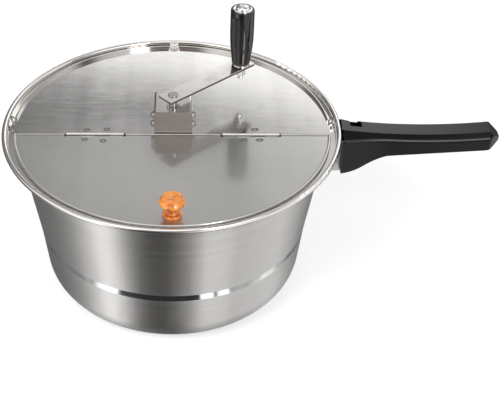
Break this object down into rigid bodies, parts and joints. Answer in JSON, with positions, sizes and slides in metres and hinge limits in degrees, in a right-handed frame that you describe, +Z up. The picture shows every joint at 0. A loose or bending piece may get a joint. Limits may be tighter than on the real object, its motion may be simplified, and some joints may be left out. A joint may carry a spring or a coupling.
{
  "type": "stovetop popcorn popper",
  "caption": "Stovetop popcorn popper: tapered steel pot with a long black handle, a hinged half lid with a wooden knob, and a hand crank that turns a wire stirrer.",
  "frame": {"origin": "centre of the pot's flat base, on the surface it stands on", "axes": "+X along the long handle, +Z up along the crank's shaft, -Y towards the flap with the knob"},
  "size_m": [0.3855, 0.26, 0.2172],
  "materials": {
    "pot_steel": "brushed round the wall, with a polished band and rim",
    "lid_steel": "fine satin sheet",
    "bracket_steel": "satin sheet",
    "bright_steel": "polished",
    "chrome": "mirror",
    "phenolic": "satin moulded",
    "grip_plastic": "gloss moulded",
    "knob_wood": "varnished"
  },
  "bodies": {
    "pot": {"pot_body": "pot_steel", "handle_brace": "bright_steel", "handle_grip": "phenolic", "handle_screw": "bright_steel"},
    "lid": {"lid_back": "lid_steel", "hinge_leaves_back": "bright_steel", "hinge_pins": "bright_steel", "crank_bracket": "bracket_steel", "bracket_front": "bracket_steel", "bracket_rivets": "bright_steel", "bracket_bush": "bright_steel", "lid_bush": "bright_steel"},
    "flap": {"lid_flap": "lid_steel", "hinge_leaves_front": "bright_steel", "lid_knob": "knob_wood", "knob_washer": "bright_steel", "knob_screw": "bright_steel"},
    "crank": {"crank_shaft": "bright_steel", "shaft_sleeve": "bright_steel", "stirrer_hub": "bright_steel", "set_screws": "bright_steel", "stirrer_wire": "bright_steel", "crank_arm": "bright_steel", "grip_washer": "bright_steel", "grip_bolt": "chrome", "grip_nut": "bright_steel"},
    "grip": {"crank_grip": "grip_plastic"},
    "tongue_right": {"clip_right": "bright_steel"},
    "tongue_left": {"clip_left": "bright_steel"},
    "tongue_back": {"clip_back": "bright_steel"}
  },
  "joints": [
    {"name": "lid_lift", "type": "slide", "parent": "pot", "child": "lid", "axis": [0, 0, 1], "range_m": [0, 0.16]},
    {"name": "flap_hinge", "type": "hinge", "parent": "lid", "child": "flap", "pos_m": [0, -0.0095, 0.1362], "axis": [1, 0, 0], "range_deg": [-84, 0]},
    {"name": "crank_turn", "type": "hinge", "parent": "lid", "child": "crank", "pos_m": [0, 0, 0.15], "axis": [0, 0, 1], "continuous": true},
    {"name": "grip_spin", "type": "hinge", "parent": "crank", "child": "grip", "pos_m": [0.05318, 0.04705, 0.189], "axis": [0, 0, 1], "continuous": true},
    {"name": "tongue_right_flex", "type": "hinge", "parent": "lid", "child": "tongue_right", "pos_m": [0.12082, 0.00654, 0.13605], "axis": [0.0541, -0.9985, 0], "range_deg": [0, 6], "stiffness_Nm_per_rad": 0.05},
    {"name": "tongue_left_flex", "type": "hinge", "parent": "lid", "child": "tongue_left", "pos_m": [-0.12082, 0.00654, 0.13605], "axis": [0.0541, 0.9985, 0], "range_deg": [0, 6], "stiffness_Nm_per_rad": 0.05},
    {"name": "tongue_back_flex", "type": "hinge", "parent": "lid", "child": "tongue_back", "pos_m": [0, 0.121, 0.13605], "axis": [1, 0, 0], "range_deg": [0, 6], "stiffness_Nm_per_rad": 0.05}
  ]
}
